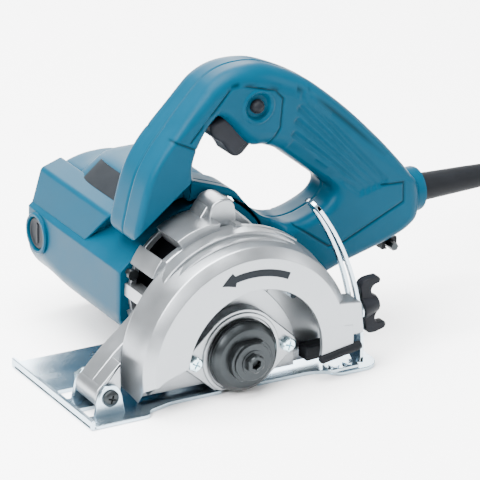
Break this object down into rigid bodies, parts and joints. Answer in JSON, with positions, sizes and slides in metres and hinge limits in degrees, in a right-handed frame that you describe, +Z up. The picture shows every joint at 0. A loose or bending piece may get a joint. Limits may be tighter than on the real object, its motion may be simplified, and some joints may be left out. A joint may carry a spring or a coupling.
{
  "type": "masonry trim saw",
  "caption": "Corded masonry trim saw with a D-handle, cross-mounted motor, cast blade case and a tilting sole with a depth guide.",
  "frame": {"origin": "on the underside of the sole, straight below the spindle axis, 40 mm to the motor side of the plane the blade seats on", "axes": "+Z up, +X to the cord end, -Y to the blade side; the spindle lies along Y"},
  "size_m": [0.4525, 0.1738, 0.178],
  "materials": {
    "zinc_steel": "bright zinc plate",
    "black_steel": "black oxide",
    "cast_aluminium": "fine cast, satin",
    "bearing_steel": "ground steel",
    "black_rubber": "matte",
    "teal_plastic": "satin moulded",
    "plate_film": "printed film, blank",
    "dark_plastic": "fine texture",
    "carbon": "graphite",
    "spring_brass": "drawn",
    "core_iron": "laminated",
    "copper": "enamelled copper"
  },
  "bodies": {
    "base": {"base_plate": "zinc_steel", "depth_guide": "zinc_steel", "guide_rivets": "zinc_steel", "pivot_screw": "black_steel", "pivot_nut": "zinc_steel", "cord": "black_rubber", "cord_coil": "black_rubber", "cord_tie": "dark_plastic", "plug": "black_rubber"},
    "tool": {"blade_case": "cast_aluminium", "gear_housing": "cast_aluminium", "case_screws": "zinc_steel", "bearing_box": "cast_aluminium", "bearing_box_screws": "zinc_steel", "spindle_front_bearing": "bearing_steel", "spindle_rear_bearing": "bearing_steel", "dust_skirt": "black_rubber", "motor_housing": "teal_plastic", "housing_screws": "black_steel", "rating_plate": "plate_film", "brush_holders": "dark_plastic", "carbon_brushes": "carbon", "brush_springs": "spring_brass", "brush_caps": "dark_plastic", "field_core": "core_iron", "field_coils": "copper", "air_baffle": "dark_plastic", "armature_front_bearing": "bearing_steel", "armature_rear_bearing": "bearing_steel", "handle_blade_side": "teal_plastic", "handle_motor_side": "teal_plastic", "handle_screws": "black_steel", "switch_body": "dark_plastic", "cord_clamp": "dark_plastic", "clamp_screws": "zinc_steel", "cord_guard": "black_rubber", "wrench_clip": "dark_plastic"},
    "wing_bolt": {"wing_grip": "dark_plastic", "wing_stud": "zinc_steel", "guide_washer": "zinc_steel"},
    "trigger": {"trigger": "dark_plastic"},
    "lock_button": {"lock_button": "dark_plastic"},
    "spindle": {"spindle": "bearing_steel", "spindle_gear": "bearing_steel", "inner_flange": "black_steel"},
    "flange_clamp": {"outer_flange": "black_steel", "hex_bolt": "black_steel"},
    "armature": {"armature_shaft": "bearing_steel", "armature_core": "core_iron", "armature_windings": "copper", "commutator": "copper", "cooling_fan": "dark_plastic"},
    "wrench": {"hex_wrench": "black_steel"}
  },
  "joints": [
    {"name": "tilt", "type": "hinge", "parent": "base", "child": "tool", "pos_m": [-0.082, -0.02, 0.012], "axis": [0, -1, 0], "range_deg": [0, 22]},
    {"name": "wing_turn", "type": "hinge", "parent": "tool", "child": "wing_bolt", "pos_m": [0.07801, -0.0415, 0.03734], "axis": [0.9877, 0, 0.1564], "range_deg": [0, 270]},
    {"name": "trigger_pull", "type": "slide", "parent": "tool", "child": "trigger", "axis": [0.6392, 0, 0.769], "range_m": [0, 0.005], "stiffness_N_per_m": 250, "springref_m": -0.0005},
    {"name": "lock_push", "type": "slide", "parent": "tool", "child": "lock_button", "axis": [0, 1, 0], "range_m": [0, 0.0025], "stiffness_N_per_m": 250, "springref_m": -0.0005},
    {"name": "spindle_turn", "type": "hinge", "parent": "tool", "child": "spindle", "pos_m": [0, -0.04, 0.0228], "axis": [0, 1, 0], "continuous": true},
    {"name": "clamp_out", "type": "slide", "parent": "spindle", "child": "flange_clamp", "axis": [0, -1, 0], "range_m": [0, 0.03]},
    {"name": "armature_turn", "type": "hinge", "parent": "tool", "child": "armature", "pos_m": [-0.011, 0.04, 0.05537], "axis": [0, 1, 0], "continuous": true},
    {"name": "wrench_out", "type": "slide", "parent": "tool", "child": "wrench", "axis": [0, 1, 0], "range_m": [0, 0.04]}
  ],
  "couplings": [
    {"joint": "spindle_turn", "follows": "armature_turn", "ratio": -0.83333}
  ]
}
